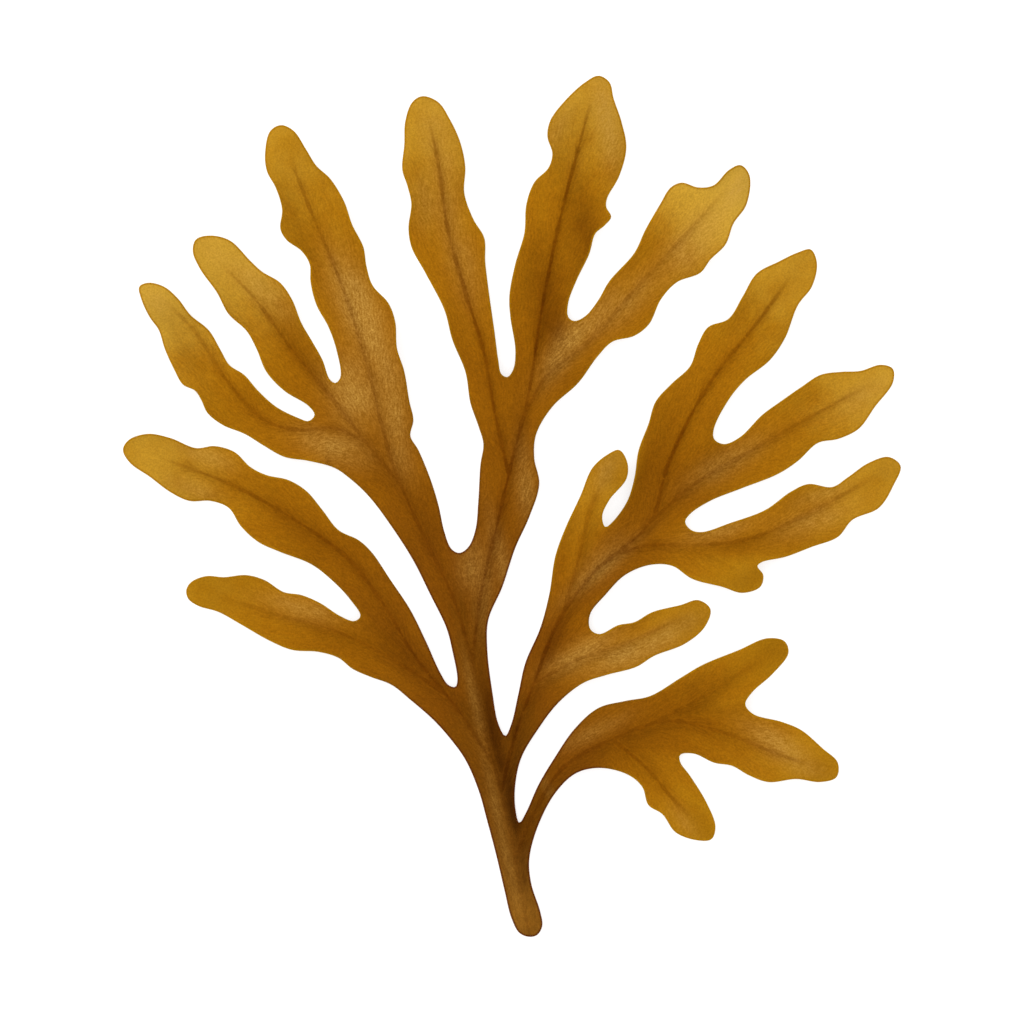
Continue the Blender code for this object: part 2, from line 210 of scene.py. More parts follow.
# The margin, walked once round the frond from the foot, up its left side and down its right side
margin = {
    "stipe, left side": [
        (529, 937), (519, 933), (511, 918), (504, 890), (496, 856), (487, 822), (478, 790), (465, 760),
        (450, 739),
    ],
    "low left blade": [
        (433, 720), (410, 700), (391, 685), (370, 677), (352, 669), (338, 658), (318, 652), (292, 650),
        (270, 641), (240, 624), (218, 612), (198, 606), (188, 599), (186, 590), (191, 582), (206, 576),
        (224, 577), (246, 575), (264, 580), (283, 592), (301, 595), (320, 603), (340, 616), (354, 621),
        (360, 616),
    ],
    "left blade": [
        (350, 600), (332, 581), (310, 564), (280, 552), (258, 542), (240, 526), (228, 508), (210, 501),
        (189, 501), (170, 492), (150, 477), (130, 463), (123, 450), (129, 440), (148, 434), (170, 438),
        (195, 448), (214, 446), (234, 452), (250, 467), (266, 475), (288, 480), (306, 491), (322, 510),
        (338, 530), (358, 540), (371, 552), (390, 580), (410, 610), (425, 640), (440, 673), (448, 685),
        (455, 687), (457, 680),
    ],
    "upper left outer blade": [
        (452, 651), (446, 628), (430, 595), (412, 559), (390, 525), (368, 496), (350, 479), (334, 468),
        (308, 461), (284, 457), (262, 445), (244, 434), (222, 425), (207, 413), (201, 400), (195, 391),
        (183, 385), (174, 370), (164, 349), (158, 330), (149, 317), (141, 299), (139, 287), (148, 283),
        (164, 287), (178, 299), (190, 315), (208, 330), (220, 350), (229, 365), (244, 375), (258, 391),
        (276, 407), (298, 418), (308, 421), (314, 415),
    ],
    "upper left middle blade": [
        (308, 406), (284, 391), (266, 372), (256, 349), (246, 331), (228, 314), (217, 293), (200, 269),
        (193, 252), (196, 240), (210, 236), (230, 241), (250, 261), (262, 272), (280, 283), (292, 300),
        (301, 323), (312, 342), (322, 360), (329, 379), (335, 383), (340, 377),
    ],
    "upper left blade": [
        (336, 350), (328, 327), (316, 305), (310, 282), (309, 264), (301, 251), (286, 240), (280, 229),
        (282, 210), (276, 189), (267, 172), (265, 154), (270, 132), (281, 126), (294, 132), (306, 150),
        (316, 166), (330, 179), (344, 202), (352, 225), (363, 247), (366, 266), (372, 285), (388, 303),
        (395, 322), (397, 349), (404, 371), (409, 401), (413, 420), (410, 436), (418, 450), (430, 479),
        (438, 505), (444, 532), (451, 549), (459, 553), (468, 547), (475, 530),
    ],
    "crown left blade": [
        (478, 500), (480, 465), (483, 444), (478, 426), (470, 403), (465, 372), (452, 340), (444, 310),
        (425, 273), (411, 247), (408, 228), (411, 204), (407, 186), (402, 170), (404, 145), (405, 122),
        (412, 103), (422, 97), (438, 103), (450, 121), (460, 143), (465, 167), (464, 193), (473, 219),
        (484, 238), (485, 262), (489, 295), (494, 330), (498, 360), (501, 374), (507, 377), (513, 369),
        (515, 350),
    ],
    "crown blade": [
        (510, 317), (509, 296), (515, 264), (524, 233), (526, 204), (534, 182), (548, 168), (552, 154),
        (547, 137), (550, 121), (566, 100), (585, 83), (598, 77), (609, 84), (613, 100), (621, 123),
        (626, 148), (619, 176), (607, 198), (606, 207), (611, 217), (604, 226), (595, 234), (589, 254),
        (576, 281), (568, 303), (568, 317), (574, 321), (585, 316), (598, 300),
    ],
    "upper right blade": [
        (609, 281), (634, 253), (645, 230), (660, 204), (670, 188), (681, 183), (698, 188), (713, 186),
        (728, 171), (740, 166), (749, 176), (746, 205), (733, 224), (725, 245), (710, 260), (700, 273),
        (677, 282), (661, 299), (649, 324), (634, 336), (612, 342), (597, 357), (578, 383), (552, 407),
        (536, 434), (534, 458), (539, 484), (529, 517), (515, 548), (502, 587), (488, 620), (487, 650),
        (492, 692), (498, 724), (505, 736), (511, 724),
    ],
    "inner blade": [
        (518, 694), (525, 663), (540, 628), (549, 594), (555, 556), (565, 528), (580, 496), (592, 468),
        (608, 454), (619, 450), (627, 463), (626, 479), (609, 500), (602, 516), (605, 527), (613, 521),
    ],
    "right blade": [
        (627, 501), (634, 478), (638, 451), (648, 424), (655, 402), (671, 384), (690, 366), (698, 344),
        (708, 327), (728, 319), (742, 297), (756, 274), (778, 262), (797, 253), (810, 250), (816, 264),
        (811, 287), (797, 306), (785, 338), (770, 360), (745, 380), (729, 399), (714, 428), (714, 439),
        (724, 444),
    ],
    "right middle blade": [
        (740, 437), (762, 415), (781, 401), (801, 387), (820, 375), (840, 372), (860, 371), (880, 365),
        (892, 369), (892, 383), (874, 407), (858, 429), (838, 439), (818, 443), (798, 461), (778, 474),
        (740, 489), (710, 501), (690, 514), (685, 522), (691, 530), (702, 532),
    ],
    "right lower blade and its spur": [
        (730, 523), (765, 510), (790, 492), (808, 484), (832, 487), (848, 477), (868, 463), (888, 457),
        (900, 466), (893, 485), (878, 508), (852, 520), (838, 537), (812, 547), (785, 557), (762, 562),
        (757, 566), (763, 575), (760, 587), (742, 593), (722, 587), (692, 579), (672, 566), (650, 565),
        (625, 575), (605, 595), (590, 614), (590, 629), (599, 634),
    ],
    "right low blade": [
        (618, 625), (634, 622), (652, 612), (680, 605), (698, 600), (710, 609), (704, 627), (684, 644),
        (654, 656), (636, 667), (606, 675), (583, 683), (558, 703), (538, 729), (521, 758), (515, 785),
        (515, 808), (519, 823),
    ],
    "low right upper blade": [
        (526, 812), (538, 785), (554, 758), (574, 729), (598, 708), (625, 701), (650, 696), (680, 678),
        (702, 665), (738, 650), (766, 638), (784, 641), (788, 653), (772, 674), (752, 692), (745, 704),
        (753, 714),
    ],
    "low right blade": [
        (782, 722), (801, 730), (822, 748), (837, 762), (836, 777), (820, 782), (796, 779), (768, 782),
        (748, 775), (732, 766), (714, 763), (694, 754), (680, 755), (680, 762),
    ],
    "low right spur": [
        (690, 776), (706, 802), (715, 826), (711, 839), (696, 840), (675, 832), (662, 814), (648, 805),
        (642, 787), (628, 775), (600, 768), (576, 773), (555, 793), (537, 828),
    ],
    "stipe, right side": [(529, 860), (531, 884), (540, 912), (542, 926), (537, 935)],
}

# Satin patches, painted highlight where a blade would arch up and catch the light, and dusky ones,
# painted shade where it would dip: place on the sheet, half length, half width, the direction of its
# length in degrees from +X, and strength
paintedHighlightPatches = [
    (370, 330, 62, 16, 112, 0.85),
    (350, 296, 40, 16, 112, 0.7),
    (400, 455, 26, 12, 110, 0.4),
    (425, 202, 26, 14, 95, 0.4),
    (352, 392, 34, 22, 112, 0.9),
    (395, 412, 30, 12, 100, 0.5),
    (330, 446, 34, 14, 160, 0.75),
    (445, 168, 60, 14, 95, 0.45),
    (462, 262, 44, 14, 105, 0.45),
    (606, 122, 42, 12, 100, 0.9),
    (558, 128, 34, 10, 60, 0.4),
    (560, 352, 34, 12, 60, 0.6),
    (592, 322, 40, 12, 50, 0.65),
    (632, 300, 34, 12, 50, 0.45),
    (695, 240, 44, 18, 50, 0.75),
    (738, 186, 24, 12, 60, 0.75),
    (526, 486, 40, 10, 95, 0.5),
    (502, 560, 50, 8, 105, 0.4),
    (262, 288, 36, 14, 135, 0.65),
    (216, 256, 26, 16, 135, 0.25),
    (206, 456, 26, 10, 160, 0.6),
    (190, 488, 26, 10, 160, 0.5),
    (300, 608, 36, 10, 165, 0.65),
    (472, 565, 24, 14, 90, 0.45),
    (582, 652, 34, 10, 30, 0.9),
    (625, 655, 40, 12, 20, 0.85),
    (672, 630, 30, 10, 30, 0.5),
    (775, 742, 30, 12, 150, 0.8),
    (800, 765, 26, 10, 160, 0.4),
    (684, 822, 20, 8, 130, 0.35),
    (720, 530, 34, 9, 15, 0.55),
    (815, 520, 36, 12, 20, 0.6),
    (822, 494, 28, 8, 20, 0.45),
    (728, 462, 40, 12, 30, 0.6),
    (862, 396, 32, 12, 30, 0.5),
    (606, 470, 24, 10, 60, 0.5),
    (600, 570, 44, 8, 40, 0.5),
    (500, 830, 70, 5, 103, 0.25),
    (474, 700, 44, 5, 103, 0.3),
    (484, 600, 40, 10, 85, 0.25),
    (600, 560, 30, 12, 45, 0.3),
    (548, 790, 30, 5, 120, 0.25),
    (516, 896, 30, 8, 103, 0.1),
    (592, 732, 34, 8, 25, 0.4),
    (155, 300, 20, 12, 130, 0.6),
    (428, 130, 26, 12, 95, 0.3),
]
# Dusky patches, painted shade
duskyPatches = [
    (308, 252, 44, 10, 112, 0.45),
    (548, 322, 60, 22, 95, 0.6),
    (578, 232, 56, 20, 100, 0.5),
    (184, 345, 40, 14, 125, 0.4),
    (750, 578, 22, 12, 20, 0.6),
    (692, 622, 30, 14, 30, 0.6),
    (774, 652, 30, 12, 35, 0.6),
    (822, 770, 18, 12, 160, 0.4),
    (702, 826, 24, 12, 120, 0.5),
    (612, 468, 24, 12, 75, 0.6),
    (210, 592, 24, 14, 160, 0.3),
    (700, 470, 50, 22, 40, 0.5),
    (800, 266, 24, 14, 50, 0.25),
    (494, 715, 50, 6, 98, 0.6),
    (430, 520, 40, 12, 110, 0.35),
    (332, 634, 34, 12, 165, 0.3),
    (885, 472, 16, 12, 45, 0.3),
    (300, 352, 44, 12, 128, 0.55),
    (590, 226, 50, 14, 105, 0.6),
    (552, 302, 60, 16, 100, 0.55),
    (292, 520, 60, 16, 145, 0.45),
    (700, 690, 46, 16, 30, 0.6),
    (640, 745, 40, 20, 20, 0.2),
    (745, 548, 40, 10, 10, 0.4),
    (508, 790, 60, 7, 103, 0.75),
    (512, 700, 60, 8, 95, 0.5),
    (400, 650, 60, 14, 130, 0.45),
    (520, 440, 60, 10, 95, 0.4),
    (650, 470, 60, 12, 65, 0.35),
    (380, 470, 44, 12, 130, 0.35),
]

# What breaks up the patches: size of the noise in metres, how much of a patch it takes, and its seeds
patchNoise = {"size": 0.0032, "share": 0.22, "paintedHighlightSeed": 21, "duskSeed": 22}

# The stipe's painted light: a painted highlight band along the left of its rib and a painted shade band
# along its right, as light from the upper left falls on it. For each band: distance from its rib, 0 on it
# and above 0 on its left, half width, the reaches between which it starts and between which it ends, all
# in metres, and strength
stemLightAndShade = {
    "litSide": (0.0017, 0.0013, (0.020, 0.040), (0.060, 0.085), 0.14),
    "shadedSide": (-0.0018, 0.0016, (0.008, 0.020), (0.060, 0.090), 0.85),
}

# Sizes of the thallus in metres, and how finely it is made
thallusShape = {
    "edgeThickness": 0.0007,  # as it is a hair inside its rounded edge
    "bladeThickness": 0.0011,
    "edgeBevel": 0.0026,
    "edgeRounding": 0.0003,
    "ribHeight": (0.0030, 0.0007),  # at the foot and at a tip
    "ribHalfWidth": (0.0026, 0.0010),
    "ribFade": 0.022,  # the rib sinks in over this last stretch before a tip
    "ribClearance": 0.8,  # it is whole this share of its half width inside the margin
    "ribUnder": 0.00035,  # how far it stands proud of the underside
    "veinFade": (0.0011, 0.0121),  # the vein is gone, and whole, this far before a tip
    "flatReach": 0.170,  # from the foot, where the stipe's section has become a blade's
    "cup": 0.0010,
    "ripple": 0.0017,
    "rippleStart": 0.0425,  # from the foot, where margins start to ripple
    "rippleFull": 0.1275,
    "rippleLength": 0.031,
    "rippleTurn": 1.9,  # radians from one rib's ripple to the next one's
    "liftShare": 0.4,  # both margins rise together by this share of the ripple
    "liftPace": 0.7,  # and at this share of its pace
    "contactBlend": 0.0004,
    "forkBlend": 0.0022,
    "flute": 0.00012,  # depth of the shallow folds that run along a blade
    "fluteSize": (0.022, 0.0019),  # along a rib and away from it
    "fluteEdge": 0.003,  # they start this far inside the margin
    "fluteSeed": 5,
    "tipReach": 0.036,  # how far a tip's gold reaches down its blade
    "marginStep": 0.00064,
    "fieldStep": 0.00062,
    "pathStep": 0.0010,
    "edgeRows": (0.3, 1.4),  # rows of points along the margin, in edge roundings inside it
    "rowClearance": 0.25,  # a row's point is left out nearer to the margin than this, in the same
    "fieldClearance": 0.6,  # how far the field stays inside the last row, in its own steps
    "crestClearance": 0.5,  # and off the ribs
    "fieldJitter": 0.12,  # how far its points are moved at random, in its own steps
    "fieldSeed": 3,
}

# How the numbers are worked out
tiny = 1e-9  # keeps a division from being by 0
fineSteps = 40  # of a curve between two of its points, before it is cut evenly
blockSize = 1500  # places taken at a time
bandHeight = 0.002
marginReach = 0.011  # distances from the margin are worked out this far
latticeSize = 256
merged = 1e-6  # points nearer than this, in steps of the sheet, are one


def onPlan(sheetPlaces):
    # Places of the sheet in metres, with the sheet's centre at the origin and y turned up
    return (np.array(sheetPlaces, float) - sheetCentre) * (sheetStep, -sheetStep)


def smoothStep(value, low, high):
    # 0 below low, 1 above high, and 3t² - 2t³ between
    t = np.clip((value - low) / (high - low), 0, 1)
    return t * t * (3 - 2 * t)


def mixBetween(pair, share):
    # The straight line from the first value to the second, read at a share of the way
    return pair[0] + (pair[1] - pair[0]) * share


def smoothCurve(points, step, closed=False):
    # Centripetal Catmull-Rom curve through the points, cut into even steps: each stretch between two
    # points is a blend of blends of the lines through its four nearest points
    if closed:
        p = np.vstack([points[-1:], points, points[:2]])
    else:
        p = np.vstack([2 * points[:1] - points[1:2], points, 2 * points[-1:] - points[-2:-1]])
    knots = np.concatenate([[0], np.cumsum(np.sqrt(np.linalg.norm(np.diff(p, axis=0), axis=1)))])
    p0, p1, p2, p3 = (p[k : len(p) - 3 + k][:, None] for k in range(4))
    t0, t1, t2, t3 = (knots[k : len(p) - 3 + k][:, None, None] for k in range(4))
    t = t1 + (t2 - t1) * np.linspace(0, 1, fineSteps, endpoint=False)[None, :, None]
    a = p0 + (p1 - p0) * (t - t0) / (t1 - t0)
    b = p1 + (p2 - p1) * (t - t1) / (t2 - t1)
    c = p2 + (p3 - p2) * (t - t2) / (t3 - t2)
    d = a + (b - a) * (t - t0) / (t2 - t0)
    e = b + (c - b) * (t - t1) / (t3 - t1)
    fine = np.vstack([(d + (e - d) * (t - t1) / (t2 - t1)).reshape(-1, 2), p[-2:-1]])
    along = np.concatenate([[0], np.cumsum(np.linalg.norm(np.diff(fine, axis=0), axis=1))])
    even = np.linspace(0, along[-1], max(2, round(along[-1] / step)) + 1)
    if closed:
        even = even[:-1]
    return np.column_stack([np.interp(even, along, fine[:, k]) for k in (0, 1)])


def nearestOn(start, end, places):
    # For each place: its distance from the nearest of the straight pieces start-end, how far along that
    # piece in metres, which piece, and the side, 1 for left and -1 for right
    runX, runY = (end - start).T
    length = np.hypot(runX, runY)
    offX, offY = places[:, :1] - start[:, 0], places[:, 1:] - start[:, 1]
    share = np.clip((offX * runX + offY * runY) / length**2, 0, 1)
    offX -= share * runX
    offY -= share * runY
    best = (offX * offX + offY * offY).argmin(axis=1)
    rows = np.arange(len(places))
    awayX, awayY = offX[rows, best], offY[rows, best]
    gap = np.hypot(awayX, awayY)
    side = (runX[best] * awayY - runY[best] * awayX) / (length[best] * np.maximum(gap, tiny))
    return gap, share[rows, best] * length[best], best, side


def alongPath(path, places):
    # Distance of each place from the path, how far along the path it is, and on which side
    before = np.concatenate([[0], np.cumsum(np.linalg.norm(np.diff(path, axis=0), axis=1))])
    blocks = np.array_split(places, len(places) // blockSize + 1)
    found = [nearestOn(path[:-1], path[1:], block) for block in blocks]
    gap, further, piece, side = (np.concatenate([f[k] for f in found]) for k in range(4))
    return gap, before[piece] + further, side


def fromMargin(outline, places):
    # Distance of each place from the margin, below 0 outside it. Places are taken in level bands, each
    # with only the margin's pieces near it. A place is inside if it has an odd number of pieces on
    # its right
    reach = marginReach
    ends = np.roll(outline, -1, axis=0)
    gap = np.full(len(places), -reach)
    bandOf = ((places[:, 1] - places[:, 1].min()) / bandHeight).astype(int)
    for band in range(bandOf.max() + 1):
        here = np.flatnonzero(bandOf == band)
        if not len(here):
            continue
        low, high = places[here, 1].min(), places[here, 1].max()
        near = (np.minimum(outline[:, 1], ends[:, 1]) < high + reach) & (
            np.maximum(outline[:, 1], ends[:, 1]) > low - reach
        )
        if not near.any():
            continue
        a, b = outline[near], ends[near]
        x, y = places[here, :1], places[here, 1:]
        crosses = (a[:, 1] > y) != (b[:, 1] > y)
        rise = np.where(b[:, 1] == a[:, 1], 1, b[:, 1] - a[:, 1])
        inside = (crosses & (x < a[:, 0] + (y - a[:, 1]) * (b[:, 0] - a[:, 0]) / rise)).sum(1) % 2 == 1
        distance = nearestOn(a, b, places[here])[0]
        gap[here] = np.where(inside, distance, -distance)
    return gap


def heightAlong(values, share):
    # Catmull-Rom curve through even steps of height in millimetres, read at a share of the rib's length:
    # a cubic in the share t of one step, from the two heights beside it and the two beyond them
    heights = np.array(values) / 1000
    place = np.clip(share, 0, 1) * (len(heights) - 1)
    low = np.clip(place.astype(int), 0, len(heights) - 2)
    t = place - low
    before, here = heights[np.maximum(low - 1, 0)], heights[low]
    there, after = heights[low + 1], heights[np.minimum(low + 2, len(heights) - 1)]
    cubed = 3 * (here - there) + after - before
    squared = 2 * before - 5 * here + 4 * there - after
    return here + 0.5 * t * (there - before + t * (squared + t * cubed))


def softNoise(u, v, seed):
    # Smooth random field from -1 to 1 with features one unit long: a seeded lattice, blended between
    # its four nearest corners
    lattice = np.random.default_rng(seed).uniform(-1, 1, (latticeSize, latticeSize))
    i, j = np.floor(u).astype(int), np.floor(v).astype(int)
    s, t = smoothStep(u - i, 0, 1), smoothStep(v - j, 0, 1)
    left, right = i % latticeSize, (i + 1) % latticeSize
    low, high = j % latticeSize, (j + 1) % latticeSize
    near = lattice[left, low] * (1 - s) + lattice[right, low] * s
    far = lattice[left, high] * (1 - s) + lattice[right, high] * s
    return near * (1 - t) + far * t


def growRibs():
    # Each rib's smooth path, and how far its start and its end are from the foot: a start is as far as
    # the nearest place of the rib that it leaves, and an end is its own length further
    paths, starts, ends = {}, {}, {}
    for name, (parent, places, *_) in ribs.items():
        paths[name] = smoothCurve(onPlan(places), thallusShape["pathStep"])
        length = np.linalg.norm(np.diff(paths[name], axis=0), axis=1).sum()
        starts[name] = starts[parent] + alongPath(paths[parent], paths[name][:1])[1][0] if parent else 0.0
        ends[name] = starts[name] + length
    return paths, starts, ends


def readFields(places, edgeGap, paths, starts, ends):
    # What the tissue is like at each place: the mean of what each rib says, weighted by an exponential
    # of how much further off it is than the nearest rib, so that it changes smoothly at a fork. The
    # margins ripple as a sine along the blade, opposite on its two sides, on a slower cosine that lifts
    # both, and the ripple grows as the square of the share of the way to the margin
    shape = thallusShape
    found = {name: alongPath(path, places) for name, path in paths.items()}
    ribGap = np.min([gap for gap, _, _ in found.values()], axis=0)
    across = ribGap / (ribGap + np.maximum(edgeGap, 0) + tiny)
    read = ("lie", "reach", "lean", "stem", "standing", "vein", "ripe", "glow", "weight")
    sums = {name: np.zeros(len(places)) for name in read}
    longest = {name: ends[name] for name in ribs}
    for name in reversed(list(ribs)):
        parent = ribs[name][0]
        if parent:
            longest[parent] = max(longest[parent], longest[name])
    for turn, (name, (gap, place, side)) in enumerate(found.items()):
        weight = np.exp(-(gap - ribGap) / shape["forkBlend"])
        length = ends[name] - starts[name]
        reach = starts[name] + place
        swing = 2 * math.pi * reach / shape["rippleLength"] + shape["rippleTurn"] * turn
        lift = shape["liftShare"] * np.cos(shape["liftPace"] * swing)
        grown = smoothStep(reach, shape["rippleStart"], shape["rippleFull"])
        ripple = shape["ripple"] * grown * across**2 * (side * np.sin(swing) + lift)
        sums["lie"] += weight * (heightAlong(ribs[name][2], place / length) + ripple)
        sums["reach"] += weight * reach
        sums["lean"] += weight * side * gap
        sums["stem"] += weight * (name == "stipe")
        sums["standing"] += weight * smoothStep(length - place, 0, shape["ribFade"])
        sums["vein"] += weight * ribs[name][4] * smoothStep(length - place, *shape["veinFade"])
        sums["ripe"] += weight * reach / longest[name]
        sums["glow"] += weight * ribs[name][3] * smoothStep(length - place, shape["tipReach"], 0.0)
        sums["weight"] += weight
    fields = {name: value / sums["weight"] for name, value in sums.items()}
    fields.update(ribGap=ribGap, across=across, edgeGap=edgeGap)
    return fields


def raiseFaces(fields, places):
    # Heights of the underside and the upper face. The underside is the lie of the blade, cupped as the
    # square of the share of the way to the margin, and pressed flat where it meets the table: a parabola
    # joins the two. The upper face adds a body that thins to its margin, a bell-shaped midrib and soft
    # flutes beside it, and both faces meet in a quarter round at the edge
    shape = thallusShape
    lie = fields["lie"] + shape["cup"] * fields["across"] ** 2
    blend = shape["contactBlend"]
    pressed = np.clip(lie + blend, 0, 2 * blend) ** 2 / (4 * blend)
    under = np.where(lie > blend, lie, pressed)
    flatness = smoothStep(fields["reach"], 0, shape["flatReach"])
    halfWidth = mixBetween(shape["ribHalfWidth"], flatness)
    rise = mixBetween(shape["ribHeight"], flatness) * np.where(flatness > 0, fields["standing"], 1)
    edgeGap = np.maximum(fields["edgeGap"], 0)
    inside = smoothStep(edgeGap, 0, shape["edgeBevel"])
    body = mixBetween((shape["edgeThickness"], shape["bladeThickness"]), inside)
    bell = np.exp(-((fields["ribGap"] / halfWidth) ** 2))
    rib = rise * bell * smoothStep(edgeGap, 0, shape["ribClearance"] * halfWidth)
    fluteLength, fluteWidth = shape["fluteSize"]
    folds = softNoise(fields["reach"] / fluteLength, fields["ribGap"] / fluteWidth, shape["fluteSeed"])
    flutes = shape["flute"] * folds * smoothStep(edgeGap, 0, shape["fluteEdge"]) * (1 - bell)
    t = np.clip(edgeGap / shape["edgeRounding"], 0, 1)
    closing = 0.5 * shape["edgeThickness"] * (1 - np.sqrt(t * (2 - t)))
    hollow = shape["ribUnder"] * (1 - bell) * inside
    return under + closing + hollow, under + body + rib + flutes - closing


def patchField(places, patches, seed):
    # How strongly the patches cover each place: the sum of their ellipses, each a bell along its length
    # times a bell across it, broken up by noise
    total = np.zeros(len(places))
    for x, y, length, width, degrees, strength in patches:
        offset = (places - onPlan([(x, y)])) / sheetStep
        turn = math.radians(degrees)
        u = offset[:, 0] * math.cos(turn) + offset[:, 1] * math.sin(turn)
        v = offset[:, 1] * math.cos(turn) - offset[:, 0] * math.sin(turn)
        total += strength * np.exp(-((u / length) ** 2) - (v / width) ** 2)
    broken = softNoise(*(places / patchNoise["size"]).T, seed)
    return np.clip(total * (1 + patchNoise["share"] * broken), 0, 1)


def paintStemLightAndShade(fields):
    # The stipe gets painted highlight along the left of its rib and painted shade along the right, as
    # light
    # from the upper left falls: a bell across each band, times a smooth start above the foot and a smooth
    # end below the forks
    bands = []
    for place, halfWidth, start, end, strength in (stemLightAndShade["litSide"], stemLightAndShade["shadedSide"]):
        bell = np.exp(-(((fields["lean"] - place) / halfWidth) ** 2))
        stretch = smoothStep(fields["reach"], *start) * (1 - smoothStep(fields["reach"], *end))
        bands.append(strength * bell * fields["stem"] * stretch)
    return bands


def makeThallus(name):
    # The plan is points on the margin, on rows just inside it, on the ribs and on a field of even
    # triangles, joined by Delaunay triangles inside the margin. Both faces use these triangles, each
    # point raised to its face's height, and share the points of the margin
    shape = thallusShape
    corners = onPlan([place for stretch in margin.values() for place in stretch])
    outline = smoothCurve(corners, shape["marginStep"], True)
    boxLow, boxHigh = (np.array(corner)[:2] for corner in cadBox)
    outlineLow, outlineHigh = outline.min(0), outline.max(0)
    fit = (boxHigh - boxLow) / (outlineHigh - outlineLow)
    paths, starts, ends = growRibs()

    tangent = np.roll(outline, -1, axis=0) - np.roll(outline, 1, axis=0)
    inward = np.column_stack([tangent[:, 1], -tangent[:, 0]]) / np.linalg.norm(tangent, axis=1)[:, None]
    rounding = shape["edgeRounding"]
    rows = np.vstack([outline + depth * rounding * inward for depth in shape["edgeRows"]])
    rowGap = fromMargin(outline, rows)
    clear = rowGap > shape["rowClearance"] * rounding
    rows, rowGap = rows[clear], rowGap[clear]
    step = shape["fieldStep"]
    xs = np.arange(outlineLow[0], outlineHigh[0], step)
    ys = np.arange(outlineLow[1], outlineHigh[1], step * math.sqrt(0.75))
    field = np.stack(np.meshgrid(xs, ys), axis=2)
    field[1::2, :, 0] += step / 2
    field = field.reshape(-1, 2)
    jitter = shape["fieldJitter"]
    field += np.random.default_rng(shape["fieldSeed"]).uniform(-jitter, jitter, field.shape) * step
    crest = np.vstack(list(paths.values()))
    loose = np.vstack([crest, field])
    looseGap = fromMargin(outline, loose)
    wellIn = looseGap > shape["edgeRows"][-1] * rounding + shape["fieldClearance"] * step
    kept, keptGap = loose[wellIn], looseGap[wellIn]
    crestGap = np.min([alongPath(path, kept)[0] for path in paths.values()], axis=0)
    offCrest = crestGap > shape["crestClearance"] * step
    offCrest[: wellIn[: len(crest)].sum()] = True
    plan = np.vstack([outline, rows, kept[offCrest]])
    edgeGap = np.concatenate([np.zeros(len(outline)), rowGap, keptGap[offCrest]])
    ring = np.arange(len(outline))
    loop = np.column_stack([ring, np.roll(ring, -1)])
    # It gives its points in an order of its own, so the triangles are taken back to this one
    _, _, cut, origins, _, _ = delaunay_2d_cdt((plan / sheetStep).tolist(), loop.tolist(), [], 1, merged)
    triangles = np.array([origin[0] for origin in origins])[np.array(cut)]
    print("plan of the thallus:", len(plan), "points")

    fields = readFields(plan, edgeGap, paths, starts, ends)
    lower, upper = raiseFaces(fields, plan)
    # Painted highlight and painted shade: the satin and dusky patches, with the stipe's painted lit and
    # shaded bands added to them
    litSide, shadedSide = paintStemLightAndShade(fields)
    satin = np.clip(patchField(plan, paintedHighlightPatches, patchNoise["paintedHighlightSeed"]) + litSide, 0, 1)
    dusk = np.clip(patchField(plan, duskyPatches, patchNoise["duskSeed"]) + shadedSide, 0, 1)

    # The underside's own points start after those of the margin
    count, rim = len(plan), len(outline)
    underIndex = np.concatenate([ring, np.arange(count, 2 * count - rim)])
    fitted = (plan - outlineLow) * fit + boxLow
    top = np.column_stack([fitted, upper])
    bottom = np.column_stack([fitted, lower])[rim:]
    mesh = bpy.data.meshes.new(name)
    vertices = np.vstack([top, bottom])
    faces = np.vstack([triangles, underIndex[triangles][:, ::-1]])
    mesh.from_pydata(vertices.tolist(), [], faces.tolist())
    mesh.shade_smooth()
    onBoth = {key: fields[key] for key in ("ripe", "glow", "reach", "ribGap", "standing", "vein")}
    onBoth.update(edgeGap=edgeGap, satin=satin, dusk=dusk)
    for attributeName, values in onBoth.items():
        attribute = mesh.attributes.new(attributeName, "FLOAT", "POINT")
        attribute.data.foreach_set("value", np.concatenate([values, values[rim:]]).astype(np.float32))
    thallus = bpy.data.objects.new(name, mesh)
    bpy.context.scene.collection.objects.link(thallus)
    print("thallus:", len(faces), "triangles")
    return thallus


